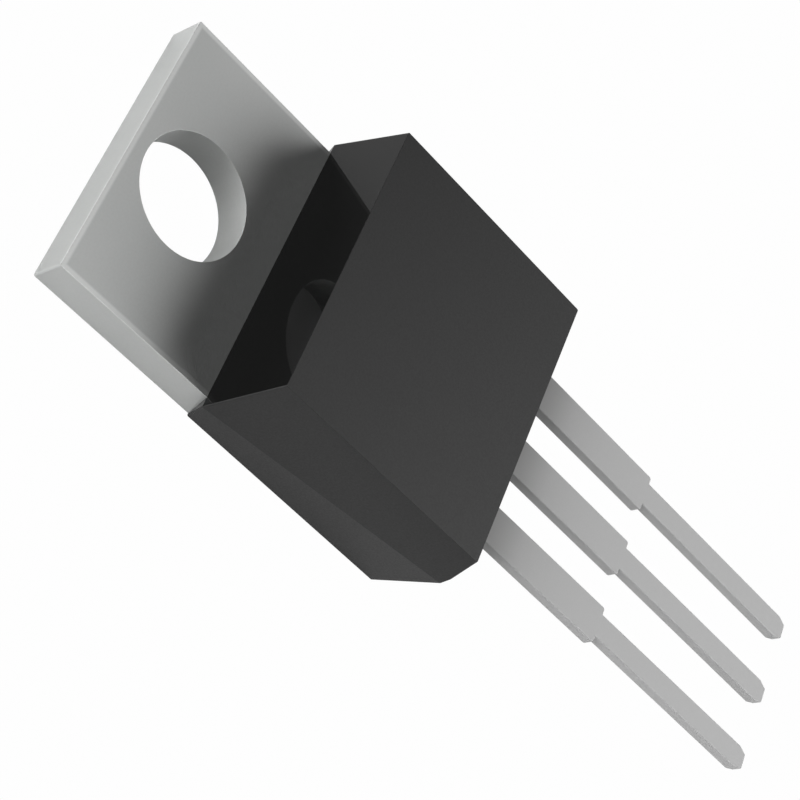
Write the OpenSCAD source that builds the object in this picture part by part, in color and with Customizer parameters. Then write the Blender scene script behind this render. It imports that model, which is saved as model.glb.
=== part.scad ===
// Power MOSFET in a flanged, three-lead moulded package, lying on its metal back.
// Millimetres. The origin is the centre of the screw hole in the plane of the tab's back.
// +Z goes out of the front face, +Y goes to the end of the tab, and the leads run along -Y.

/* [Tab] */
// Width of the heat-sink tab
tab_w = 9.5; // [8.5:0.1:11]
// Thickness of the tab and of the chip's pad
tab_t = 1.27; // [0.9:0.01:1.6]
// Centre of the screw hole to the end of the tab
hole_to_end = 2.45; // [2.3:0.05:3.4]
// Diameter of the screw hole
hole_d = 3.8; // [3:0.05:4.2]
// Bare length of the tab, from its end to the moulding
tab_bare_l = 5.7; // [5.4:0.1:8]
// Radius of the tab's two outer corners
tab_corner_r = 0.2; // [0.1:0.05:1]

/* [Moulding] */
// Length of the moulding along its parting line
body_l = 8.8; // [8.4:0.1:11]
// Height of the moulding, from the tab's back to the front face
body_h = 4.3; // [4.1:0.05:5.2]
// How far the moulding's back edge stands out past the side of the tab
tab_step = 0.06; // [0.04:0.01:0.5]
// Inset of the back edge from the parting line, on the two long sides
side_inset_back = 0.29; // [0.1:0.01:0.5]
// Inset of the front edge from the parting line, on the two long sides
side_inset_front = 0.3; // [0.1:0.01:0.5]
// Inset of the back edge from the parting line, at both ends
end_inset_back = 0.38; // [0.1:0.01:0.6]
// Inset of the front edge from the parting line, at the end by the tab
end_inset_tab = 0.36; // [0.1:0.01:0.8]
// Inset of the front edge from the parting line, at the end by the leads
end_inset_leads = 0.27; // [0.1:0.01:0.8]

/* [Pad inside the moulding] */
// Epoxy beside the pad, measured at the moulding's back edge
pad_side_wall = 0.76; // [0.5:0.02:1.2]
// Epoxy between the pad and the lead end, measured at the moulding's back edge
pad_end_wall = 1.05; // [0.8:0.05:1.5]
// Lap of the full-width tab inside the moulding, before it narrows to the pad
tab_lap = 0.1; // [0.05:0.01:0.5]

/* [Leads] */
// Distance between the centre lines of neighbouring leads
pitch = 2.54; // [2.3:0.02:2.8]
// Length of a lead outside the moulding
lead_l = 13.75; // [10:0.05:15]
// Length of a lead's wide stretch outside the moulding
lead_wide_l = 5.9; // [3:0.05:8]
// Width of a lead beside the moulding
lead_wide_w = 1.28; // [1:0.02:1.5]
// Width of a lead's narrow pin
lead_pin_w = 0.81; // [0.5:0.01:0.95]
// Thickness of the leads
lead_t = 0.38; // [0.3:0.01:0.6]
// Height of the leads' back face above the tab's back face
lead_rise = 2.71; // [2.4:0.01:2.9]
// Cut across the corners of a lead's shoulder
shoulder_cut = 0.12; // [0.05:0.01:0.2]
// Length of the taper at a lead's tip
tip_l = 0.34; // [0.1:0.02:1]
// Width left at a lead's tip
tip_w = 0.52; // [0.2:0.02:0.6]

/* [Lead roots inside the moulding] */
// Gap between the drain lead and the bond posts beside it
post_gap = 0.55; // [0.4:0.05:0.8]
// Epoxy beside a bond post, measured at the front edge
post_wall = 0.7; // [0.4:0.05:1]
// Length of a bond post
post_l = 1.4; // [1.1:0.1:1.6]
// Epoxy between a bond post and the lead end
post_end_wall = 0.5; // [0.4:0.05:0.7]
// Level run of the drain lead at the pad, before it climbs
joggle_foot_l = 0.3; // [0.2:0.05:0.4]
// Level run of the drain lead behind the lead end, after its climb
joggle_top_l = 0.45; // [0.3:0.05:0.5]

/* [Chip] */
// Width of the chip
die_w = 4.2; // [3:0.1:5]
// Length of the chip
die_l = 4.4; // [3.6:0.1:5]
// Thickness of the chip
die_t = 0.3; // [0.2:0.01:0.4]
// Thickness of the solder under the chip
solder_t = 0.05; // [0.03:0.01:0.1]
// Solder that shows round the chip
solder_rim = 0.15; // [0.05:0.05:0.3]
// Pad left between the chip and the pad's end by the leads
die_to_pad_end = 1.4; // [1:0.1:1.8]

/* [Bond wires] */
// Diameter of the two source wires
source_wire_d = 0.38; // [0.25:0.01:0.42]
// Diameter of the gate wire
gate_wire_d = 0.15; // [0.1:0.01:0.2]
// Foot of the inner source wire on the chip, from the chip's middle towards the source lead
source_bond_1_x = -0.3; // [-0.5:0.05:0.2]
// Foot of the outer source wire on the chip, from the chip's middle towards the source lead
source_bond_2_x = 1.1; // [0.8:0.05:1.2]
// Foot of the gate wire on the chip, from the chip's middle towards the gate lead
gate_bond_x = 1.2; // [0.9:0.05:1.4]
// Distance between the two source wires' feet on their post
source_feet_gap = 1.3; // [0.8:0.05:1.6]
// Length of a wire's flattened foot
wire_foot_l = 0.6; // [0.4:0.05:0.7]
// Share of a wire's radius that its flattened foot keeps below its centre line
wire_foot_squash = 0.6; // [0.5:0.05:0.75]
// Bend radius of a wire's centre line, as a multiple of its diameter
wire_bend = 1.2; // [1:0.1:1.4]
// Rise of a wire's centre line over its foot on the post
wire_rise = 0.38; // [0.3:0.01:0.45]
// Slope of a wire where it climbs from the chip
wire_climb = 60; // [55:1:65]
// Slope of a wire where it comes down to the post
wire_drop = 30; // [25:1:35]
// Gap between a wire's foot and the far edge of its post
wire_foot_gap = 0.15; // [0.1:0.01:0.2]

/* [Hidden] */
$fn = 64;
big = 60;      // side of the blocks that trim the moulding
run_out = 1;   // how far a cutting tool runs past the faces that it cuts
wire_sides = 10;
bend_steps = 3;

// Places along Y. "part" is the parting line, the moulding's widest outline.
y_part_tab = hole_to_end - tab_bare_l;
y_part_leads = y_part_tab - body_l;
y_back_tab = y_part_tab - end_inset_back;
y_back_leads = y_part_leads + end_inset_back;
y_front_tab = y_part_tab - end_inset_tab;
y_front_leads = y_part_leads + end_inset_leads;
y_tab_neck = y_back_tab - tab_lap;
y_pad_end = y_back_leads + pad_end_wall;
y_shoulder = y_part_leads - lead_wide_l;
y_tip = y_part_leads - lead_l;

// Half widths of the moulding and of the pad
half_back = tab_w / 2 + tab_step;
half_part = half_back + side_inset_back;
half_front = half_part - side_inset_front;
half_pad = half_back - pad_side_wall;

// Heights of the leads' front face and of the chip's two faces
z_lead_front = lead_rise + lead_t;
z_die = tab_t + solder_t;
z_die_top = z_die + die_t;

// Bond posts: inner and outer side, and the end towards the leads
x_post_in = lead_wide_w / 2 + post_gap;
x_post_out = half_front - post_wall;
x_post_mid = (x_post_in + x_post_out) / 2;
y_post = y_part_leads + post_end_wall;

// Middle of the chip
y_die = y_pad_end + die_to_pad_end + die_l / 2;

// Outlines

// The moulding's outline, seen from the side: [y, z]
function side_outline() = [
    [y_back_tab, 0], [y_part_tab, tab_t], [y_front_tab, body_h], [y_front_leads, body_h],
    [y_part_leads, z_lead_front], [y_part_leads, lead_rise], [y_back_leads, 0]];

// Three points on each facet of the moulding's long side, anticlockwise as seen from outside
function side_facets() = let (
    front_tab = [half_front, y_front_tab, body_h],
    front_leads = [half_front, y_front_leads, body_h],
    part_tab = [half_part, y_part_tab, tab_t],
    part_leads = [half_part, y_part_leads, lead_rise],
    back_tab = [half_back, y_back_tab, 0],
    back_leads = [half_back, y_back_leads, 0]) [
    [front_tab, front_leads, part_leads],
    [front_tab, part_leads, part_tab],
    [part_tab, part_leads, back_leads],
    [part_tab, back_leads, back_tab]];

// Half of a lead's outline, from its root inside the moulding to its tip: [x, y]
function lead_half(root_l) = [
    [lead_wide_w / 2, y_part_leads + root_l], [lead_wide_w / 2, y_shoulder + shoulder_cut],
    [lead_wide_w / 2 - shoulder_cut, y_shoulder], [lead_pin_w / 2, y_shoulder],
    [lead_pin_w / 2, y_tip + tip_l], [tip_w / 2, y_tip]];

function mirrored(points) = [for (i = [len(points) - 1:-1:0]) [-points[i].x, points[i].y]];

// The drain lead's climb from the pad to the height of the leads, seen from the side: [y, z].
// corner moves each corner of the bent strip so that the strip keeps its thickness.
function climb_outline() = let (
    y_foot = y_pad_end - joggle_foot_l,
    y_top = y_part_leads + joggle_top_l,
    rise = lead_rise + lead_t - tab_t,
    corner = lead_t / 2 * tan(atan2(rise, y_foot - y_top) / 2)) [
    [y_pad_end + lead_t, tab_t], [y_foot + corner, tab_t],
    [y_top + corner, z_lead_front], [y_part_leads, z_lead_front],
    [y_part_leads, lead_rise], [y_top - corner, lead_rise],
    [y_foot - corner, tab_t - lead_t], [y_pad_end + lead_t, tab_t - lead_t]];

// Points on a bend that follows a point: [x, z, slope, height of the face that the wire rests on]
function wire_bend_points(p, r, slope) = let (turn = sign(slope - p[2])) [
    for (i = [1:bend_steps]) let (s = p[2] + (slope - p[2]) * i / bend_steps)
    [p.x + turn * r * (sin(s) - sin(p[2])), p.y - turn * r * (cos(s) - cos(p[2])), s, p[3]]];

// A wire's centre line, seen from the side: foot, climb, level top, drop and foot
function wire_path(d, span) = let (
    r = wire_bend * d,
    z_chip = z_die_top + wire_foot_squash * d / 2,
    z_post = z_lead_front + wire_foot_squash * d / 2,
    z_top = z_post + wire_rise,
    climb_l = (z_top - z_chip - 2 * r * (1 - cos(wire_climb))) / sin(wire_climb),
    drop_l = (wire_rise - 2 * r * (1 - cos(wire_drop))) / sin(wire_drop),
    foot = [wire_foot_l, z_chip, 0, z_die_top],
    up = wire_bend_points(foot, r, wire_climb),
    up_end = up[bend_steps - 1],
    climbed = [up_end.x + climb_l * cos(wire_climb), up_end.y + climb_l * sin(wire_climb),
               wire_climb, z_die_top],
    x_drop = span - wire_foot_l - 2 * r * sin(wire_drop) - drop_l * cos(wire_drop),
    top_end = [x_drop, z_top, 0, z_lead_front],
    down = wire_bend_points(top_end, r, -wire_drop),
    down_end = down[bend_steps - 1],
    dropped = [down_end.x + drop_l * cos(wire_drop), down_end.y - drop_l * sin(wire_drop),
               -wire_drop, z_lead_front])
    concat([[0, z_chip, 0, z_die_top], foot], up, [climbed], wire_bend_points(climbed, r, 0),
           [top_end], down, [dropped], wire_bend_points(dropped, r, 0),
           [[span, z_post, 0, z_lead_front]]);

// A point on the wire's skin, pressed up by the face that the wire rests on
function ring_point(p, r, angle) = [
    p.x - r * cos(angle) * sin(p[2]), r * sin(angle), max(p[3], p.y + r * cos(angle) * cos(p[2]))];

// Building blocks

// A block that fills the outer side of the plane through three points
module outside_of(p, q, r) {
    n = cross(q - p, r - p) / norm(cross(q - p, r - p));
    translate(p) rotate([0, acos(n.z), atan2(n.y, n.x)])
        translate([-big / 2, -big / 2, 0]) cube(big);
}

// An outline drawn in Y and Z, extruded along X and centred
module along_x(width, points) {
    translate([-width / 2, 0, 0]) rotate([90, 0, 90]) linear_extrude(width) polygon(points);
}

// A flat stamped lead whose root reaches into the moulding
module flat_lead(root_l) {
    translate([0, 0, lead_rise]) linear_extrude(lead_t)
        polygon(concat(lead_half(root_l), mirrored(lead_half(root_l))));
}

// A lead that ends in a bond post inside the moulding, on the +X side
module post_lead() {
    translate([pitch, 0, 0]) flat_lead(post_end_wall + post_l / 2);
    translate([x_post_in, y_post, lead_rise]) cube([x_post_out - x_post_in, post_l, lead_t]);
}

// A bond wire with flattened feet, from a foot that starts at chip to one that ends at post: [x, y]
module bond_wire(d, chip, post) {
    path = wire_path(d, norm(post - chip));
    rings = [for (p = path, i = [0:wire_sides - 1]) ring_point(p, d / 2, i * 360 / wire_sides)];
    last = wire_sides * (len(path) - 1);
    sides = [for (k = [0:len(path) - 2], i = [0:wire_sides - 1])
        let (a = k * wire_sides, j = (i + 1) % wire_sides)
        [a + i, a + j, a + wire_sides + j, a + wire_sides + i]];
    start_cap = [for (i = [wire_sides - 1:-1:0]) i];
    end_cap = [for (i = [0:wire_sides - 1]) last + i];
    translate([chip.x, chip.y, 0]) rotate([0, 0, atan2(post.y - chip.y, post.x - chip.x)])
        polyhedron(rings, concat(sides, [start_cap, end_cap]));
}

// A wire from the chip to the bond post on the +X side
module wire_to_post(d, x_chip, x_post) {
    bond_wire(d, [x_chip, y_die + wire_foot_l / 2], [x_post, y_post + wire_foot_gap]);
}

// A box that is centred across the part
module centred_box(width, y_from, y_to, z_from, height) {
    translate([-width / 2, y_from, z_from]) cube([width, y_to - y_from, height]);
}

// Sub-parts

// The epoxy moulding, cast round everything that it holds
module moulded_body() {
    color("#2b2b2c") difference() {
        along_x(2 * half_part, side_outline());
        for (side = [0, 1], facet = side_facets())
            mirror([side, 0, 0]) outside_of(facet[0], facet[1], facet[2]);
        drain_tab();
        gate_lead();
        source_lead();
        die_solder();
        silicon_die();
        gate_wire();
        source_wire_1();
        source_wire_2();
    }
}

// The heat-sink plate, the chip's pad and the middle lead: one piece of strip in two thicknesses
module drain_tab() {
    color("#a7a9a8") {
        difference() {
            union() {
                centred_box(tab_w, y_tab_neck, hole_to_end - tab_corner_r, 0, tab_t);
                centred_box(tab_w - 2 * tab_corner_r, y_tab_neck, hole_to_end, 0, tab_t);
                for (side = [-1, 1])
                    translate([side * (tab_w / 2 - tab_corner_r), hole_to_end - tab_corner_r, 0])
                        cylinder(h = tab_t, r = tab_corner_r);
            }
            translate([0, 0, -run_out]) cylinder(h = tab_t + 2 * run_out, d = hole_d);
        }
        centred_box(2 * half_pad, y_pad_end, y_back_tab, 0, tab_t);
        along_x(lead_wide_w, climb_outline());
        flat_lead(joggle_top_l / 2);
    }
}

module gate_lead() {
    color("#b4b6b5") mirror([1, 0, 0]) post_lead();
}

module source_lead() {
    color("#b4b6b5") post_lead();
}

module die_solder() {
    color("#8d9092")
        centred_box(die_w + 2 * solder_rim, y_die - die_l / 2 - solder_rim, y_die + die_l / 2 + solder_rim,
                    tab_t, solder_t);
}

module silicon_die() {
    color("#5b6168") centred_box(die_w, y_die - die_l / 2, y_die + die_l / 2, z_die, die_t);
}

module gate_wire() {
    color("#d5d6d8") mirror([1, 0, 0]) wire_to_post(gate_wire_d, gate_bond_x, x_post_mid);
}

module source_wire_1() {
    color("#d5d6d8")
        wire_to_post(source_wire_d, source_bond_1_x, x_post_mid - source_feet_gap / 2);
}

module source_wire_2() {
    color("#d5d6d8")
        wire_to_post(source_wire_d, source_bond_2_x, x_post_mid + source_feet_gap / 2);
}

moulded_body();
drain_tab();
gate_lead();
source_lead();
die_solder();
silicon_die();
gate_wire();
source_wire_1();
source_wire_2();
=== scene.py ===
# %% [markdown]
# # Power MOSFET in a flat-backed moulded package
#
# The real object is a copper strip, plated and stamped, with a chip soldered on it and black epoxy
# moulded round the chip. The chip and its wires are sealed in, so what the eye gets is three things:
# satin grey metal, paler flat leads, and a black block with crisp edges.
# The solids of the part are loaded first. They are the frame: every piece here takes its place from
# them.

# %% Load the frame
import math
import bmesh
import bpy
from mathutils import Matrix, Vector


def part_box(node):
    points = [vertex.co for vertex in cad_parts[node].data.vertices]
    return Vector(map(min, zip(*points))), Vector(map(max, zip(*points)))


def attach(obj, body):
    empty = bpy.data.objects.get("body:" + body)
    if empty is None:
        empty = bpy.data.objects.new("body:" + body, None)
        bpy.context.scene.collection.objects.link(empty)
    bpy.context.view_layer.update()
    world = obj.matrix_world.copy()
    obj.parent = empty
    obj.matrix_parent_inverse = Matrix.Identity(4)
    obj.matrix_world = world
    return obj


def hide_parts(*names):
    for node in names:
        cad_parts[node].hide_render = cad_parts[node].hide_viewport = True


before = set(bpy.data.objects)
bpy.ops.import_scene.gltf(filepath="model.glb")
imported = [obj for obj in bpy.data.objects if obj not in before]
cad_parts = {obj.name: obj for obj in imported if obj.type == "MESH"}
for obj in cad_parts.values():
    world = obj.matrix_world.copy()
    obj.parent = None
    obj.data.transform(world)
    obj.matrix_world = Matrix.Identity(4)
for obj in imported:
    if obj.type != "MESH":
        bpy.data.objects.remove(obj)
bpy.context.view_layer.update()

print("nodes:", sorted(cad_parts))

# %% [markdown]
# ## Working in millimetres
#
# The part is under 30 mm long, and many mesh tools merge or skip what is nearer than 0.1 mm when a
# unit is a metre. So each piece is modelled at 1 unit to the millimetre, and shrunk a thousand times
# when it is finished. Its scale is then applied, so that the object sits at the origin, unscaled.
#
# Sizes that the solids know come from the boxes of the nodes. The rest are given here once. The
# origin is in the middle of the screw hole, at the part's back. X goes across the part, Y along it
# towards the tab's end, and Z to its front.

# %% Sizes in millimetres
def box_mm(node):
    low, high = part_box(node)
    return [v * 1000 for v in low], [v * 1000 for v in high]


BODY_LOW, BODY_HIGH = box_mm("moulded_body")
STRIP_HIGH = box_mm("drain_tab")[1]
LEAD_LOW, LEAD_HIGH = box_mm("source_lead")
SOLDER_LOW = box_mm("die_solder")[0]                  # the solder lies on the strip's front

HALF_PART, BODY_H = BODY_HIGH[0], BODY_HIGH[2]        # the parting line, the moulding's widest outline
Y_PART_LEADS, Y_PART_TAB = BODY_LOW[1], BODY_HIGH[1]
HALF_TAB, Y_TAB_END, TAB_T = STRIP_HIGH[0], STRIP_HIGH[1], SOLDER_LOW[2]
LEAD_RISE, Z_LEAD_FRONT = LEAD_LOW[2], LEAD_HIGH[2]   # back and front face of the leads
LEAD_T = Z_LEAD_FRONT - LEAD_RISE
Y_TIP = LEAD_LOW[1]

PITCH = 2.54                                          # from one lead's centre line to the next
HOLE_R = 1.9                                          # screw hole in the tab
HALF_BACK, HALF_FRONT = 4.81, 4.8                     # half widths of the moulding's back and front
Y_BACK_TAB, Y_BACK_LEADS = -3.63, -11.67              # ends of the moulding's back
Y_FRONT_TAB, Y_FRONT_LEADS = -3.61, -11.78            # ends of the moulding's front
HALF_PAD, Y_NECK, Y_PAD_END = 4.05, -3.73, -10.62     # the chip's pad, under the moulding
HALF_WIDE, HALF_PIN, HALF_TIP = 0.64, 0.405, 0.26     # half widths along a lead
Y_SHOULDER, SHOULDER_CUT, TIP_L = -18.0, 0.06, 0.34   # shoulder, its cut corners, length of the taper
POST_IN, POST_OUT, Y_POST, POST_L = 1.19, 4.1, -11.55, 1.4  # bond post of the two outer leads
Y_FOOT, Y_TOP = -10.92, -11.6                         # the middle lead's climb from the pad

print("moulding %.2f x %.2f x %.2f mm" % (2 * HALF_PART, Y_PART_TAB - Y_PART_LEADS, BODY_H))
print("tab %.2f wide, %.2f thick; leads %.2f thick" % (2 * HALF_TAB, TAB_T, LEAD_T))

# %% [markdown]
# ## Tools that select
#
# Every operator works on what is selected, and loading leaves the solids selected. So the first tool
# empties the selection. The others open a piece in edit mode and pick its faces or edges by their
# place, or by the way they face.

# %% Tools that select
CLEAR = 0.01          # mm that keep a limit off what lies just on it
FACING = 0.9          # a face looks along an axis if more than this share of its normal does
CORNER_ANGLE = 0.5    # radians between two faces, from which their edge is a corner to be rounded


def deselect():
    if bpy.context.mode != "OBJECT":
        bpy.ops.object.mode_set(mode="OBJECT")
    bpy.ops.object.select_all(action="DESELECT")


def work_on(piece):
    """Makes a piece the only selected one, and the active one."""
    deselect()
    piece.select_set(True)
    bpy.context.view_layer.objects.active = piece


def edit(piece):
    """Opens a piece in edit mode with nothing selected, and gives its mesh."""
    work_on(piece)
    bpy.ops.object.mode_set(mode="EDIT")
    bpy.ops.mesh.select_all(action="DESELECT")
    return bmesh.from_edit_mesh(piece.data)


def pick(mesh, kind, wanted):
    """Selects the faces or edges whose middle passes the test. Returns how many there are."""
    bpy.ops.mesh.select_mode(type="FACE" if kind == "faces" else "EDGE")
    bpy.ops.mesh.select_all(action="DESELECT")
    found = 0
    for part in getattr(mesh, kind):
        if kind == "faces":
            middle = part.calc_center_median()
        else:
            middle = (part.verts[0].co + part.verts[1].co) / 2
        if wanted(part, middle):
            part.select_set(True)
            found += 1
    mesh.select_flush_mode()
    return found


def near(a, b, gap=0.001):
    return abs(a - b) < gap


def is_corner(edge):
    return edge.calc_face_angle(0) > CORNER_ANGLE


def lies_at(edge, z):
    """Tells whether both ends of an edge are at the height z."""
    return near(edge.verts[0].co.z, z) and near(edge.verts[1].co.z, z)


# %% [markdown]
# ## Tools that shape
#
# A piece starts as a block. Its edges are rounded with Bevel. Bisect scores new edges into its faces,
# so that a part of a face can be pulled out on its own, and Limited Dissolve then joins what still
# lies in one plane. The Boolean modifier adds one piece to another, or takes it out.

# %% Tools that shape
FLAT_WITHIN = 0.5     # degrees between two faces, up to which they count as one plane


def add_block(name, low, high):
    """A cube stretched between two corners, with its place and size in its mesh."""
    deselect()
    middle = [(a + b) / 2 for a, b in zip(low, high)]
    bpy.ops.mesh.primitive_cube_add(size=1, location=middle, scale=[b - a for a, b in zip(low, high)])
    piece = bpy.context.object
    piece.name = piece.data.name = name
    bpy.ops.object.transform_apply(location=True, rotation=True, scale=True)
    return piece


def round_edges(piece, radius, wanted, segments=4):
    """Rounds the edges that pass the test."""
    mesh = edit(piece)
    found = pick(mesh, "edges", wanted)
    bpy.ops.mesh.bevel(offset=radius, offset_type="OFFSET", segments=segments, profile=0.5,
                       affect="EDGES", clamp_overlap=True)
    deselect()
    print("%s: %d edges rounded at %.2f mm" % (piece.name, found, radius))


def score(piece, at, across):
    """Cuts new edges into the faces along a plane, and keeps both halves."""
    edit(piece)
    bpy.ops.mesh.select_all(action="SELECT")
    bpy.ops.mesh.bisect(plane_co=at, plane_no=across)
    deselect()


def merge_flat(piece):
    """Limited Dissolve: joins the faces that lie in one plane."""
    edit(piece)
    bpy.ops.mesh.select_all(action="SELECT")
    bpy.ops.mesh.dissolve_limited(angle_limit=math.radians(FLAT_WITHIN))
    deselect()


def combine(piece, tool, operation, keep_tool=False):
    """Adds the tool to a piece (UNION) or takes it out (DIFFERENCE), with a Boolean modifier."""
    work_on(piece)
    change = piece.modifiers.new("combine", "BOOLEAN")
    change.operation, change.solver, change.object = operation, "EXACT", tool
    bpy.ops.object.modifier_apply(modifier=change.name)
    if not keep_tool:
        bpy.data.objects.remove(tool)


# %% [markdown]
# ## Tools that finish
#
# A finished piece is shaded smooth across its rounded edges only, shrunk to its real size, given its
# material, and set to ride on the part. Some of its faces can then get a material of their own.

# %% Tools that finish
MM = 0.001            # metres in a millimetre; a finished piece is scaled by it
SMOOTH_UP_TO = 35     # degrees between two faces, up to which they are shaded as one surface
FLAT_PULL = 90        # how strongly large faces draw the normals at their edges


def finish_piece(piece, material, *nodes, slot):
    """Smooth shading with flat faces kept flat, real size, material, and its place in the frame."""
    work_on(piece)
    bpy.ops.object.shade_smooth_by_angle(angle=math.radians(SMOOTH_UP_TO))
    flatten = piece.modifiers.new("flat faces", "WEIGHTED_NORMAL")
    flatten.keep_sharp = True
    flatten.weight = FLAT_PULL
    bpy.ops.object.modifier_apply(modifier=flatten.name)
    piece.scale = (MM, MM, MM)
    bpy.ops.object.transform_apply(location=True, rotation=True, scale=True)
    piece.data.materials.clear()
    piece.data.materials.append(material)
    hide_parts(*nodes)
    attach(piece, "root")
    print("%s: %d faces, material %s" % (piece.name, len(piece.data.polygons), material.name))


def coat(piece, material, wanted):
    """Gives the faces that pass the test a material of their own."""
    piece.data.materials.append(material)
    mesh = edit(piece)
    found = pick(mesh, "faces", wanted)
    piece.active_material_index = 1
    bpy.ops.object.material_slot_assign()
    deselect()
    print("%s on %d faces of %s" % (material.name, found, piece.name))


# %% [markdown]
# ## Colour and nodes
#
# Colours are written as the hex values that a painter would pick, and Blender computes in linear
# light, so one function turns one into the other. A second one adds a node with its settings and
# links, so that each material reads as a short recipe, and a third starts a material.

# %% Colour and node helpers
def linear(hex_colour):
    channels = [int(hex_colour[i:i + 2], 16) / 255 for i in (1, 3, 5)]
    return tuple(c / 12.92 if c <= 0.04045 else ((c + 0.055) / 1.055) ** 2.4 for c in channels) + (1.0,)


def add(tree, kind, links=None, **settings):
    """Adds a node. Settings are its own properties, or its inputs by name or number."""
    made = tree.nodes.new(kind)
    inputs = settings.pop("inputs", {})
    for key, value in settings.items():
        setattr(made, key, value)
    for key, value in inputs.items():
        made.inputs[key].default_value = value
    for key, socket in (links or {}).items():
        tree.links.new(socket, made.inputs[key])
    return made


def new_material(name):
    made = bpy.data.materials.new(name)
    made.use_nodes = True
    tree = made.node_tree
    return made, tree, tree.nodes["Principled BSDF"]


# %% [markdown]
# ## Finish of the moulding: filled epoxy, transfer moulded
#
# The black is an epoxy with carbon black and very fine silica, pressed into a steel mould. The resin
# itself is almost black: what shows on it is a faint mirror of the room, about one part in twenty of
# its light. The mould gives most faces a fine satin grain. The grain is drawn from noise at 0.06 mm,
# a little coarser than the filler, which is too fine to see.
# The end face beside the tab comes off a polished insert, so it has no grain and mirrors the tab and
# the hole. It gets a material of its own, because it differs all over: smooth, and with less shine.
# Its base colour is darker than the satin faces' too, which is painted shade on the same resin.

# %% Materials: satin and polished epoxy
EPOXY_GRAIN_MM, POLISH_HAZE_MM = 0.06, 0.5

satin_epoxy, tree, shader = new_material("satin_moulded_epoxy")
shader.inputs["Base Color"].default_value = linear("#101010")
shader.inputs["IOR"].default_value = 1.48
place = add(tree, "ShaderNodeTexCoord")
grain = add(tree, "ShaderNodeTexNoise", {"Vector": place.outputs["Object"]},
            inputs={"Scale": 1000 / EPOXY_GRAIN_MM, "Detail": 3, "Roughness": 0.6})
satin = add(tree, "ShaderNodeMapRange", {"Value": grain.outputs["Fac"]},
            inputs={"From Min": 0.3, "From Max": 0.7, "To Min": 0.5, "To Max": 0.62})
bump = add(tree, "ShaderNodeBump", {"Height": grain.outputs["Fac"]},
           inputs={"Strength": 0.1, "Distance": 0.00001})
tree.links.new(satin.outputs["Result"], shader.inputs["Roughness"])
tree.links.new(bump.outputs["Normal"], shader.inputs["Normal"])

polished_epoxy, tree, shader = new_material("polished_moulded_epoxy")
# Painted shade: a darker base colour than the satin epoxy's, for the same resin.
shader.inputs["Base Color"].default_value = linear("#040404")
shader.inputs["IOR"].default_value = 1.28
place = add(tree, "ShaderNodeTexCoord")
haze = add(tree, "ShaderNodeTexNoise", {"Vector": place.outputs["Object"]},
           inputs={"Scale": 1000 / POLISH_HAZE_MM, "Detail": 2})
polish = add(tree, "ShaderNodeMapRange", {"Value": haze.outputs["Fac"]},
             inputs={"To Min": 0.02, "To Max": 0.06})
tree.links.new(polish.outputs["Result"], shader.inputs["Roughness"])
print("grain every %.2f mm" % EPOXY_GRAIN_MM)

# %% [markdown]
# ## Finish of the tab: plated copper strip
#
# The strip is rolled copper, stamped and then plated with nickel. Plating follows the rolled skin and
# leaves it satin: reflections are there, but blurred, so the black block shows in the tab as a soft
# dark cloud. A metal has no colour under its shine, so it is fully metallic, and its own colour is
# the tint of that shine.
# A band of 0.17 mm along the tab's front edges is painted a little brighter. It is a painted highlight
# along the edge. It is drawn from the distance to the tab's sides and end, on Object coordinates.

# %% Material: plated strip
PLATING_GRAIN_MM, PLATING_CLOUD_MM, EDGE_BAND_MM = 0.08, 2.5, 0.17

plated_copper, tree, shader = new_material("nickel_plated_copper")
shader.inputs["Metallic"].default_value = 1.0
place = add(tree, "ShaderNodeTexCoord")
grain = add(tree, "ShaderNodeTexNoise", {"Vector": place.outputs["Object"]},
            inputs={"Scale": 1000 / PLATING_GRAIN_MM, "Detail": 4, "Roughness": 0.65})
cloud = add(tree, "ShaderNodeTexNoise", {"Vector": place.outputs["Object"]},
            inputs={"Scale": 1000 / PLATING_CLOUD_MM, "Detail": 2})
tint = add(tree, "ShaderNodeMix", {"Factor": cloud.outputs["Fac"]}, data_type="RGBA")
tint.inputs["A"].default_value, tint.inputs["B"].default_value = linear("#c0c2c1"), linear("#c7c8c7")
spot = add(tree, "ShaderNodeSeparateXYZ", {"Vector": place.outputs["Object"]})
across_tab = add(tree, "ShaderNodeMath", {0: spot.outputs["X"]}, operation="ABSOLUTE")
to_side = add(tree, "ShaderNodeMath", {1: across_tab.outputs["Value"]}, operation="SUBTRACT",
              inputs={0: HALF_TAB / 1000})
to_end = add(tree, "ShaderNodeMath", {1: spot.outputs["Y"]}, operation="SUBTRACT",
             inputs={0: Y_TAB_END / 1000})
to_edge = add(tree, "ShaderNodeMath", {0: to_side.outputs["Value"], 1: to_end.outputs["Value"]},
              operation="MINIMUM")
# Painted highlight: the front is painted paler in a band along the tab's sides and end.
band = add(tree, "ShaderNodeMapRange", {"Value": to_edge.outputs["Value"]},
           interpolation_type="SMOOTHSTEP",
           inputs={"From Min": EDGE_BAND_MM * 0.6 / 1000, "From Max": EDGE_BAND_MM * 1.2 / 1000,
                   "To Min": 1, "To Max": 0})
on_front = add(tree, "ShaderNodeMath", {0: spot.outputs["Z"]}, operation="GREATER_THAN",
               inputs={1: (TAB_T - 0.02) / 1000})
painted_edge_highlight = add(tree, "ShaderNodeMath", {0: band.outputs["Result"], 1: on_front.outputs["Value"]},
               operation="MULTIPLY")
highlighted_tint = add(tree, "ShaderNodeMix", {"Factor": painted_edge_highlight.outputs["Value"], "A": tint.outputs["Result"]},
            data_type="RGBA")
highlighted_tint.inputs["B"].default_value = linear("#dcdddc")
rough = add(tree, "ShaderNodeMapRange", {"Value": grain.outputs["Fac"]},
            inputs={"From Min": 0.3, "From Max": 0.7, "To Min": 0.58, "To Max": 0.66})
bump = add(tree, "ShaderNodeBump", {"Height": grain.outputs["Fac"]},
           inputs={"Strength": 0.08, "Distance": 0.00001})
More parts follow.
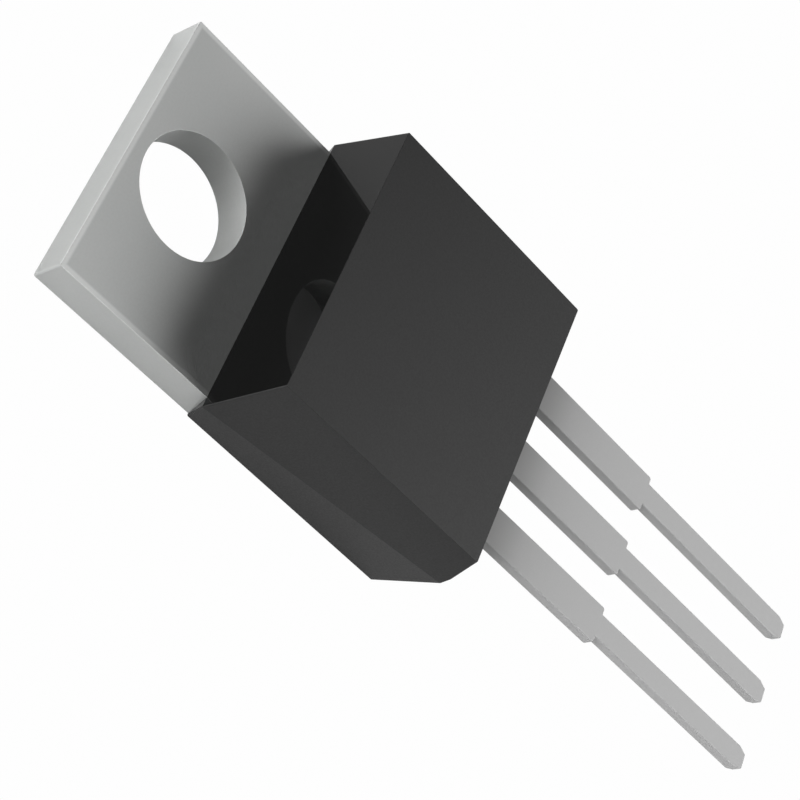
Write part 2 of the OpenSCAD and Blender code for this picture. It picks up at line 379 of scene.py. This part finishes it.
tree.links.new(highlighted_tint.outputs["Result"], shader.inputs["Base Color"])
tree.links.new(rough.outputs["Result"], shader.inputs["Roughness"])
tree.links.new(bump.outputs["Normal"], shader.inputs["Normal"])
print("plating grain every %.2f mm" % PLATING_GRAIN_MM)

# %% [markdown]
# ## Finish of the leads: matte tin
#
# The leads get a matte tin plating after moulding. Its crystals are big enough to scatter the light
# in all directions, so the leads are paler and duller than the tab, and the tin is made like a grey
# paint here, not like a mirror. In the last two millimetres before the moulding the tin is painted
# darker: this is painted shade, standing in for the shadow that the moulding casts on the leads.

# %% Material: matte tin
TIN_GRAIN_MM, LEAD_SHADE_MM = 0.05, 2.2

matte_tin, tree, shader = new_material("matte_tin_plating")
place = add(tree, "ShaderNodeTexCoord")
grain = add(tree, "ShaderNodeTexNoise", {"Vector": place.outputs["Object"]},
            inputs={"Scale": 1000 / TIN_GRAIN_MM, "Detail": 3, "Roughness": 0.6})
tint = add(tree, "ShaderNodeMix", {"Factor": grain.outputs["Fac"]}, data_type="RGBA")
tint.inputs["A"].default_value, tint.inputs["B"].default_value = linear("#a6a6a6"), linear("#b1b1b1")
along = add(tree, "ShaderNodeSeparateXYZ", {"Vector": place.outputs["Object"]})
# Painted shade: the tin turns darker over the last millimetres towards the moulding, where the moulding
# shades the leads.
painted_shade = add(tree, "ShaderNodeMapRange", {"Value": along.outputs["Y"]}, interpolation_type="SMOOTHSTEP",
           inputs={"From Min": (Y_PART_LEADS - LEAD_SHADE_MM) / 1000, "From Max": Y_PART_LEADS / 1000})
shaded_tin = add(tree, "ShaderNodeMix", {"Factor": painted_shade.outputs["Result"], "A": tint.outputs["Result"]},
             data_type="RGBA")
shaded_tin.inputs["B"].default_value = linear("#7c7c7b")
rough = add(tree, "ShaderNodeMapRange", {"Value": grain.outputs["Fac"]},
            inputs={"From Min": 0.3, "From Max": 0.7, "To Min": 0.48, "To Max": 0.58})
bump = add(tree, "ShaderNodeBump", {"Height": grain.outputs["Fac"]},
           inputs={"Strength": 0.04, "Distance": 0.00001})
tree.links.new(shaded_tin.outputs["Result"], shader.inputs["Base Color"])
tree.links.new(rough.outputs["Result"], shader.inputs["Roughness"])
tree.links.new(bump.outputs["Normal"], shader.inputs["Normal"])
print("tin grain every %.2f mm" % TIN_GRAIN_MM)

# %% [markdown]
# ## Finishes inside the moulding
#
# The chip, its solder and the wires can't be seen, but each still gets its own finish, for anyone who
# opens the part: dull solder, polished silicon and bright aluminium wire. Their solids are right as
# they are, so they keep their shape, and only their material changes.

# %% Materials: solder, silicon and wire
def inner_finish(name, dark, pale, metallic, roughness, grain_mm, *nodes):
    made, tree, shader = new_material(name)
    shader.inputs["Metallic"].default_value = metallic
    shader.inputs["Roughness"].default_value = roughness
    place = add(tree, "ShaderNodeTexCoord")
    grain = add(tree, "ShaderNodeTexNoise", {"Vector": place.outputs["Object"]},
                inputs={"Scale": 1000 / grain_mm, "Detail": 3})
    tint = add(tree, "ShaderNodeMix", {"Factor": grain.outputs["Fac"]}, data_type="RGBA")
    tint.inputs["A"].default_value, tint.inputs["B"].default_value = linear(dark), linear(pale)
    tree.links.new(tint.outputs["Result"], shader.inputs["Base Color"])
    for node in nodes:
        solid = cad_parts[node]
        solid.data.materials.clear()
        solid.data.materials.append(made)
    print(name, "on", ", ".join(nodes))


inner_finish("die_attach_solder", "#84878a", "#9a9da0", 1.0, 0.45, 0.08, "die_solder")
inner_finish("polished_silicon", "#464b52", "#555b63", 0.6, 0.15, 0.5, "silicon_die")
inner_finish("drawn_aluminium_wire", "#cfd0d2", "#dcdddf", 1.0, 0.25, 0.1,
             "gate_wire", "source_wire_1", "source_wire_2")

# %% [markdown]
# ## The heat-sink tab and the pad
#
# The tab, the pad under the chip and the middle lead are one strip of copper, thick at the tab and
# thin at the lead. It starts as a block for the bare tab. Two cuts along it mark the pad's width, and
# the part of the end face between them is pulled into the moulding, which is the pad.

# %% Tab and pad
strip = add_block("plated_strip", (-HALF_TAB, Y_NECK, 0), (HALF_TAB, Y_TAB_END, TAB_T))
for side in (-1, 1):
    score(strip, (side * HALF_PAD, 0, 0), (1, 0, 0))
mesh = edit(strip)
pick(mesh, "faces", lambda face, middle: face.normal.y < -FACING and near(middle.x, 0))
bpy.ops.mesh.extrude_region_move(TRANSFORM_OT_translate={"value": (0, Y_PAD_END - Y_NECK, 0)})
merge_flat(strip)
print("pad %.2f wide, from %.2f to %.2f mm" % (2 * HALF_PAD, Y_NECK, Y_PAD_END))

# %% [markdown]
# ## Rounded edges of the tab
#
# The upright corners are rounded more than the back edges, and those more than the front ones. So each
# edge gets a weight, and one Bevel modifier rounds them all by their weights, which also joins three
# radii cleanly at a corner.

# %% Rounded tab
TAB_CORNER_R, TAB_BACK_R, TAB_FRONT_R = 0.08, 0.06, 0.02


def outline_of_tab(z):
    """Edges at the height z round the bare tab, but none on the pad."""
    return lambda edge, middle: lies_at(edge, z) and middle.y > Y_NECK + CLEAR and is_corner(edge)


def tab_corner(edge, middle):
    return near(middle.y, Y_TAB_END) and near(abs(middle.x), HALF_TAB) and near(middle.z, TAB_T / 2)


for wanted, radius in ((outline_of_tab(TAB_T), TAB_FRONT_R), (tab_corner, TAB_CORNER_R),
                       (outline_of_tab(0), TAB_BACK_R)):
    mesh = edit(strip)
    found = pick(mesh, "edges", wanted)
    bpy.ops.transform.edge_bevelweight(value=radius / TAB_CORNER_R)
    deselect()
    print("%d edges get %.3f mm" % (found, radius))
work_on(strip)
soften = strip.modifiers.new("soften", "BEVEL")
soften.limit_method = "WEIGHT"
soften.width, soften.segments = TAB_CORNER_R, 4
soften.use_clamp_overlap = False
bpy.ops.object.modifier_apply(modifier=soften.name)

# %% [markdown]
# ## The screw hole
#
# A cylinder drills the screw hole through the tab, and the hole's two rims are barely rounded.

# %% Screw hole
HOLE_EDGE_R = 0.015

bpy.ops.mesh.primitive_cylinder_add(vertices=96, radius=HOLE_R, depth=3 * TAB_T,
                                    location=(0, 0, TAB_T / 2))
combine(strip, bpy.context.object, "DIFFERENCE")


def rim_of_hole(edge, middle):
    from_middle = math.hypot(middle.x, middle.y)
    return near(from_middle, HOLE_R, CLEAR) and lies_at(edge, middle.z) and is_corner(edge)


round_edges(strip, HOLE_EDGE_R, rim_of_hole, segments=2)

# %% [markdown]
# ## One lead
#
# A lead is stamped from thin strip: wide beside the moulding, with square shoulders where it was cut
# from its neighbours, and a narrow pin that ends in a blunt taper. All three are alike outside the
# moulding, so one is made and copied: from a block as narrow as the pin, both sides are pulled out from
# the shoulders on, and then the tip is pulled out at the end. Inside, the outer ones end in a post for
# the wires, and the middle one climbs down to the pad.

# %% Lead blank
LEAD_EDGE_R = 0.045
COVERED = 0.2     # how far into the moulding a lead's edges are rounded


def pull(piece, towards, steps):
    """Pulls an end face out in steps: the one at the root if towards is 1, at the tip if it is -1.

    Each step is (how far along Y and Z, factor on the width).
    """
    mesh = edit(piece)
    y_end = max(v.co.y * towards for v in mesh.verts) * towards
    pick(mesh, "faces",
         lambda face, middle: face.normal.y * towards > FACING and near(middle.y, y_end))
    for (along_y, along_z), factor in steps:
        bpy.ops.mesh.extrude_region_move(TRANSFORM_OT_translate={"value": (0, along_y, along_z)})
        if factor != 1:
            bpy.ops.transform.resize(value=(factor, 1, 1), center_override=(0, 0, 0))
    deselect()


def lead_blank(name, y_root):
    blank = add_block(name, (-HALF_PIN, Y_TIP + TIP_L, LEAD_RISE), (HALF_PIN, y_root, Z_LEAD_FRONT))
    score(blank, (0, Y_SHOULDER, 0), (0, 1, 0))
    for side in (-1, 1):
        mesh = edit(blank)
        pick(mesh, "faces",
             lambda face, middle: face.normal.x * side > FACING and middle.y > Y_SHOULDER)
        bpy.ops.mesh.extrude_region_move(
            TRANSFORM_OT_translate={"value": (side * (HALF_WIDE - HALF_PIN), 0, 0)})
    merge_flat(blank)
    round_edges(blank, SHOULDER_CUT, lambda edge, middle: near(middle.y, Y_SHOULDER)
                and near(abs(middle.x), HALF_WIDE), segments=1)
    pull(blank, -1, [((-TIP_L, 0), HALF_TIP / HALF_PIN)])
    score(blank, (0, Y_PART_LEADS + COVERED, 0), (0, 1, 0))
    return blank


def outside_edge(edge, middle):
    return middle.y < Y_PART_LEADS + COVERED - CLEAR and is_corner(edge)


middle_lead = lead_blank("middle_lead", Y_TOP)
outer_lead = lead_blank("outer_lead", Y_POST)
print("lead from %.2f to %.2f mm, shoulders at %.2f mm" % (Y_POST, Y_TIP, Y_SHOULDER))

# %% [markdown]
# ## The middle lead joins the strip
#
# The middle lead climbs down inside the moulding to the pad. Its end face is pulled down the slope
# and then level. Pulled straight down, the strip would get thinner on the slope, so the upper edge of
# each fold is moved one way and the lower edge the other, which gives the slope its thickness back.

# %% Middle lead
pull(middle_lead, 1, [((Y_FOOT - Y_TOP, TAB_T - Z_LEAD_FRONT), 1),
                      ((Y_PAD_END + LEAD_T - Y_FOOT, 0), 1)])
slope = math.atan2(Z_LEAD_FRONT - TAB_T, Y_FOOT - Y_TOP)
shift = LEAD_T / 2 * math.tan(slope / 2)
for y_fold, z_front in ((Y_TOP, Z_LEAD_FRONT), (Y_FOOT, TAB_T)):
    for z, move in ((z_front, shift), (z_front - LEAD_T, -shift)):
        mesh = edit(middle_lead)
        pick(mesh, "edges", lambda edge, middle: near(middle.y, y_fold) and near(middle.z, z)
             and near(edge.verts[0].co.y, edge.verts[1].co.y))
        bpy.ops.transform.translate(value=(0, move, 0))
        deselect()
round_edges(middle_lead, LEAD_EDGE_R, outside_edge, segments=3)

combine(strip, middle_lead, "UNION")
print("slope of the climb %.0f degrees, folds shifted %.2f mm" % (math.degrees(slope), shift))

# %% [markdown]
# ## The two outer leads
#
# Each outer lead ends inside in a flat post, wider on both sides, where its wires are bonded. The
# copy on the other side is mirrored. A mirrored mesh is inside out, so its faces are turned round.

# %% Outer leads
pull(outer_lead, 1, [((POST_L, 0), 1)])
for side, reach in ((-1, POST_IN - PITCH + HALF_WIDE), (1, POST_OUT - PITCH - HALF_WIDE)):
    mesh = edit(outer_lead)
    pick(mesh, "faces",
         lambda face, middle: face.normal.x * side > FACING and middle.y > Y_POST + CLEAR)
    bpy.ops.mesh.extrude_region_move(TRANSFORM_OT_translate={"value": (reach, 0, 0)})
    deselect()
round_edges(outer_lead, LEAD_EDGE_R, outside_edge, segments=3)
work_on(outer_lead)
bpy.ops.transform.translate(value=(PITCH, 0, 0))
bpy.ops.object.transform_apply(location=True, rotation=True, scale=True)

source_side = outer_lead
source_side.name = source_side.data.name = "source_side_lead"
work_on(source_side)
bpy.ops.object.duplicate(linked=False)
gate_side = bpy.context.object
gate_side.name = gate_side.data.name = "gate_side_lead"
gate_side.scale.x = -1
bpy.ops.object.transform_apply(location=True, rotation=True, scale=True)
edit(gate_side)
bpy.ops.mesh.select_all(action="SELECT")
bpy.ops.mesh.normals_make_consistent(inside=False)
deselect()
print("outer leads at x = %.2f and %.2f mm" % (PITCH, -PITCH))

# %% [markdown]
# ## The moulding
#
# A mould opens along a parting line, and every wall slopes away from it, so that the block can leave
# both halves. Here the line runs along the tab's front at one end and rises to the leads at the
# other. The block starts as a plain box as wide as the parting line. One plane after another then
# slices its sides off, with Bisect: the planes go through the corners of the back, the parting line
# and the front.

# %% Sliced block
HAIR = 0.004     # lifts the line a hair above the tab's front, so that the tab later cuts it cleanly

moulding = add_block("epoxy_moulding", (-HALF_PART, Y_PART_LEADS, 0), (HALF_PART, Y_PART_TAB, BODY_H))

front_tab, front_leads = (HALF_FRONT, Y_FRONT_TAB, BODY_H), (HALF_FRONT, Y_FRONT_LEADS, BODY_H)
part_tab, part_leads = (HALF_PART, Y_PART_TAB, TAB_T + HAIR), (HALF_PART, Y_PART_LEADS, LEAD_RISE)
part_leads_top = (HALF_PART, Y_PART_LEADS, Z_LEAD_FRONT)
back_tab, back_leads = (HALF_BACK, Y_BACK_TAB, 0), (HALF_BACK, Y_BACK_LEADS, 0)


def across(point):
    """The same height and length, on the part's middle plane."""
    return (0, point[1], point[2])


END_SLICES = [(back_tab, part_tab, across(part_tab)),
              (part_tab, front_tab, across(part_tab)),
              (front_leads, part_leads_top, across(front_leads)),
              (part_leads, back_leads, across(part_leads))]
SIDE_SLICES = [(front_tab, front_leads, part_leads), (front_tab, part_leads, part_tab),
               (part_tab, part_leads, back_leads), (part_tab, back_leads, back_tab)]


def slice_off(piece, a, b, c):
    """Cuts off what is outside the plane through three points, and closes the cut."""
    a, b, c = Vector(a), Vector(b), Vector(c)
    inside = Vector((0, (Y_PART_TAB + Y_PART_LEADS) / 2, BODY_H / 2))
    out = (b - a).cross(c - a).normalized()
    if out.dot(a - inside) < 0:
        out.negate()
    edit(piece)
    bpy.ops.mesh.select_all(action="SELECT")
    bpy.ops.mesh.bisect(plane_co=a, plane_no=out, use_fill=True, clear_outer=True, threshold=0.00001)
    deselect()


for points in END_SLICES + SIDE_SLICES:
    slice_off(moulding, *points)
for points in SIDE_SLICES:
    slice_off(moulding, *[(-x, y, z) for x, y, z in points])
print("moulding sliced to %d faces" % len(moulding.data.polygons))

# %% [markdown]
# ## Edges of the moulding
#
# The mould's own edges aren't quite sharp. The upright corners and the rims of the front and the back
# get a radius of 0.05 mm, and the parting line stays a crisp edge, where the two halves of the mould
# met. Mark Sharp keeps it crisp when the faces are shaded smooth.

# %% Rounded edges of the moulding
MOULD_EDGE_R = 0.05
UPRIGHT_RISE = 0.2       # an upright corner rises by more than this
SIDE_BAND = 0.05         # and lies further out than this inside the front's half width
PARTING_ANGLE = 0.15     # radians between the two faces that meet on the parting line, at the least


def upright_corner(edge, middle):
    a, b = edge.verts[0].co, edge.verts[1].co
    at_side = min(abs(a.x), abs(b.x)) > HALF_FRONT - SIDE_BAND
    return abs(a.z - b.z) > UPRIGHT_RISE and at_side and is_corner(edge)


def rim(z):
    return lambda edge, middle: lies_at(edge, z) and is_corner(edge)


round_edges(moulding, MOULD_EDGE_R, upright_corner, segments=5)
round_edges(moulding, MOULD_EDGE_R, rim(BODY_H), segments=4)
round_edges(moulding, MOULD_EDGE_R, rim(0), segments=3)


def parting_line(edge, middle):
    a, b = edge.verts[0].co, edge.verts[1].co
    return edge.calc_face_angle(0) > PARTING_ANGLE and (
        min(abs(a.x), abs(b.x)) > HALF_PART - CLEAR or min(a.y, b.y) > Y_PART_TAB - CLEAR)


mesh = edit(moulding)
found = pick(mesh, "edges", parting_line)
bpy.ops.mesh.mark_sharp()
deselect()
print("parting line: %d edges kept sharp" % found)

# %% [markdown]
# ## Epoxy round the metal
#
# The epoxy flowed round the strip and the leads, so their space is cut out of it, with the metal
# itself as the cutter. What shows is the tab's pad, bare and level with the moulding's back. A Boolean
# can't tell in from out where two faces lie in one plane, so the strip's own back isn't used. A copy of
# the strip, with its back pulled down through the moulding's back, does the cutting. The volumes that
# are printed tell whether each cut worked.

# %% Sockets for the metal
THROUGH = 0.5     # how far the copy's back is pulled out of the moulding


def volume(piece):
    mesh = edit(piece)
    found = mesh.calc_volume()
    deselect()
    return found


work_on(strip)
bpy.ops.object.duplicate(linked=False)
strip_cutter = bpy.context.object
mesh = edit(strip_cutter)
pick(mesh, "faces", lambda face, middle: face.normal.z < -FACING and near(middle.z, 0))
bpy.ops.transform.translate(value=(0, 0, -THROUGH))
deselect()

for cutter in (strip_cutter, source_side, gate_side):
    before = volume(moulding)
    combine(moulding, cutter, "DIFFERENCE", keep_tool=cutter is not strip_cutter)
    print("socket cut, %.2f mm3 taken out" % (before - volume(moulding)))

# %% [markdown]
# ## Cleaning up after the cuts
#
# Where a rounded edge goes through the wall, the cut leaves corners closer than a hair. They are
# merged, and the tiny triangles that this opens are filled. A closed surface has two faces at each
# edge, so the edges with another number are counted. The area of the back tells that the cut took the
# pad's place out of it and left no stray face there.

# %% Clean mesh
CLOSER = 0.0005   # corners nearer than this are merged


def open_edges(piece):
    """How many edges don't have exactly two faces."""
    uses = {}
    for face in piece.data.polygons:
        for key in face.edge_keys:
            uses[key] = uses.get(key, 0) + 1
    return sum(1 for count in uses.values() if count != 2)


edit(moulding)
bpy.ops.mesh.select_all(action="SELECT")
bpy.ops.mesh.remove_doubles(threshold=CLOSER)
bpy.ops.mesh.dissolve_degenerate(threshold=CLOSER)
bpy.ops.mesh.select_all(action="SELECT")
bpy.ops.mesh.fill_holes(sides=4)
deselect()
for piece in (moulding, strip, source_side, gate_side):
    print("%s: %d open edges" % (piece.name, open_edges(piece)))
back_area = sum(face.area for face in moulding.data.polygons
                if face.normal.z < -FACING and near(face.center.z, 0))
print("back of the moulding round the pad: %.2f mm2" % back_area)

# %% [markdown]
# ## Materials and real size
#
# Each piece is finished, and the solid that it replaces is hidden. The moulding and the strip then get
# a
# second material on some of their faces: the polished end of the moulding, and the tinned middle lead.

# %% Finished pieces
END_LEANS = 0.5       # the moulding's end face lies within this depth
TIN_FROM = 0.3        # how far inside the moulding the tin starts

finish_piece(moulding, satin_epoxy, "moulded_body", slot="moulding_epoxy")
coat(moulding, polished_epoxy,
     lambda face, middle: face.normal.y > FACING and middle.y > (Y_PART_TAB - END_LEANS) / 1000)
finish_piece(strip, plated_copper, "drain_tab", slot="plated_copper")
coat(strip, matte_tin, lambda face, middle: middle.y < (Y_PART_LEADS + TIN_FROM) / 1000)
finish_piece(source_side, matte_tin, "source_lead", slot="tinned_lead")
finish_piece(gate_side, matte_tin, "gate_lead", slot="tinned_lead")

# %% [markdown]
# ## Floor
#
# The part lies on a plain white sheet that glows a little, like the top of a light table. For the
# lens it is even white, as in a catalogue picture. In the metal and the epoxy it shows as it really
# is lit, with soft shade beside the part. The Light Path node tells the two kinds of look apart.

# %% Floor
LENS_WHITE = 0.99                         # what the lens sees of the floor and the sky
GLOW = 0.15                               # what the floor gives off by itself
FLOOR_SIDE, FLOOR_DROP = 1.2, 0.00002     # metres; the drop keeps the part's back off the sheet

deselect()
bpy.ops.mesh.primitive_plane_add(size=FLOOR_SIDE, location=(0, 0, -FLOOR_DROP))
floor = bpy.context.object
floor.name = "floor"
sheet, tree, shader = new_material("white_acrylic_light_table")
shader.inputs["Base Color"].default_value = linear("#e7e7e7")
shader.inputs["Roughness"].default_value = 0.9
shader.inputs["Specular IOR Level"].default_value = 0.1
shader.inputs["Emission Color"].default_value = (1, 1, 1, 1)
shader.inputs["Emission Strength"].default_value = GLOW
rays = add(tree, "ShaderNodeLightPath")
even_white = add(tree, "ShaderNodeEmission", inputs={"Color": (1, 1, 1, 1), "Strength": LENS_WHITE})
seen = add(tree, "ShaderNodeMixShader", {0: rays.outputs["Is Camera Ray"], 1: shader.outputs["BSDF"],
                                         2: even_white.outputs["Emission"]})
tree.links.new(seen.outputs["Shader"], tree.nodes["Material Output"].inputs["Surface"])
floor.data.materials.append(sheet)
print("floor:", tuple(round(side, 2) for side in floor.dimensions[:2]), "m")

# %% [markdown]
# ## Light
#
# Metal looks like what is round it, so the light is drawn as large soft lamps on a dark sky. Two of
# them stand low at the tab's end of the part. They light the tab's end face and the leads, and the
# moulding shades the leads beside it. Two more stand a third of the way up at the leads' end, and show
# as the even sheen on the moulding and the tab. The moulding hides them from the tab next to it, which
# gives the dark cloud there. A last, faint one lifts the long side that is nearest to the lens.
# Each lamp is (degrees up, degrees round from the X axis, strength).

# %% Soft lamps on the sky
SOFT_LAMPS = [(10, 120, 5.1), (10, 90, 7.1), (34, 256, 3.9), (34, 290, 4.1), (30, 180, 0.15)]
LAMP_CORE, LAMP_EDGE = 10, 29      # degrees from its middle: full up to the core, dark at the edge


def direction(up, round_by):
    """The way to a spot of the sky, as a vector one unit long."""
    up, round_by = math.radians(up), math.radians(round_by)
    return (math.cos(up) * math.cos(round_by), math.cos(up) * math.sin(round_by), math.sin(up))


world = bpy.data.worlds.new("soft_lamps")
bpy.context.scene.world = world
world.use_nodes = True
tree = world.node_tree
look = add(tree, "ShaderNodeTexCoord")
total = None
for up, round_by, strength in SOFT_LAMPS:
    near_lamp = add(tree, "ShaderNodeVectorMath", {0: look.outputs["Generated"]},
                    operation="DOT_PRODUCT", inputs={1: direction(up, round_by)})
    lamp = add(tree, "ShaderNodeMapRange", {"Value": near_lamp.outputs["Value"]},
               interpolation_type="SMOOTHSTEP",
               inputs={"From Min": math.cos(math.radians(LAMP_EDGE)),
                       "From Max": math.cos(math.radians(LAMP_CORE)), "To Max": strength})
    total = lamp.outputs["Result"] if total is None else add(
        tree, "ShaderNodeMath", {0: total, 1: lamp.outputs["Result"]}, operation="ADD").outputs["Value"]
rays = add(tree, "ShaderNodeLightPath")
seen = add(tree, "ShaderNodeMix", {"Factor": rays.outputs["Is Camera Ray"], "A": total},
           inputs={"B": LENS_WHITE})
tree.nodes["Background"].inputs["Color"].default_value = (1, 1, 1, 1)
tree.links.new(seen.outputs["Result"], tree.nodes["Background"].inputs["Strength"])
print("%d soft lamps" % len(SOFT_LAMPS))

# %% [markdown]
# ## Camera
#
# A 100 mm lens about 64 mm away, over the corner of the tab, turned so that the leads run down to
# the right.

# %% Camera
CAMERA_AT = (-0.036051, 0.021930, 0.047758)      # metres
CAMERA_TURN = (14.802, -43.632, -61.843)         # degrees

lens = bpy.data.cameras.new("camera")
lens.sensor_width, lens.lens = 36, 100
lens.clip_start, lens.clip_end = 0.001, 10
camera = bpy.data.objects.new("camera", lens)
bpy.context.collection.objects.link(camera)
camera.location = CAMERA_AT
camera.rotation_euler = [math.radians(angle) for angle in CAMERA_TURN]
bpy.context.scene.camera = camera
bpy.context.scene.view_settings.view_transform = "Standard"
bpy.context.scene.view_settings.look = "None"
print("a %d mm lens, %.0f mm from the screw hole" % (lens.lens, camera.location.length * 1000))
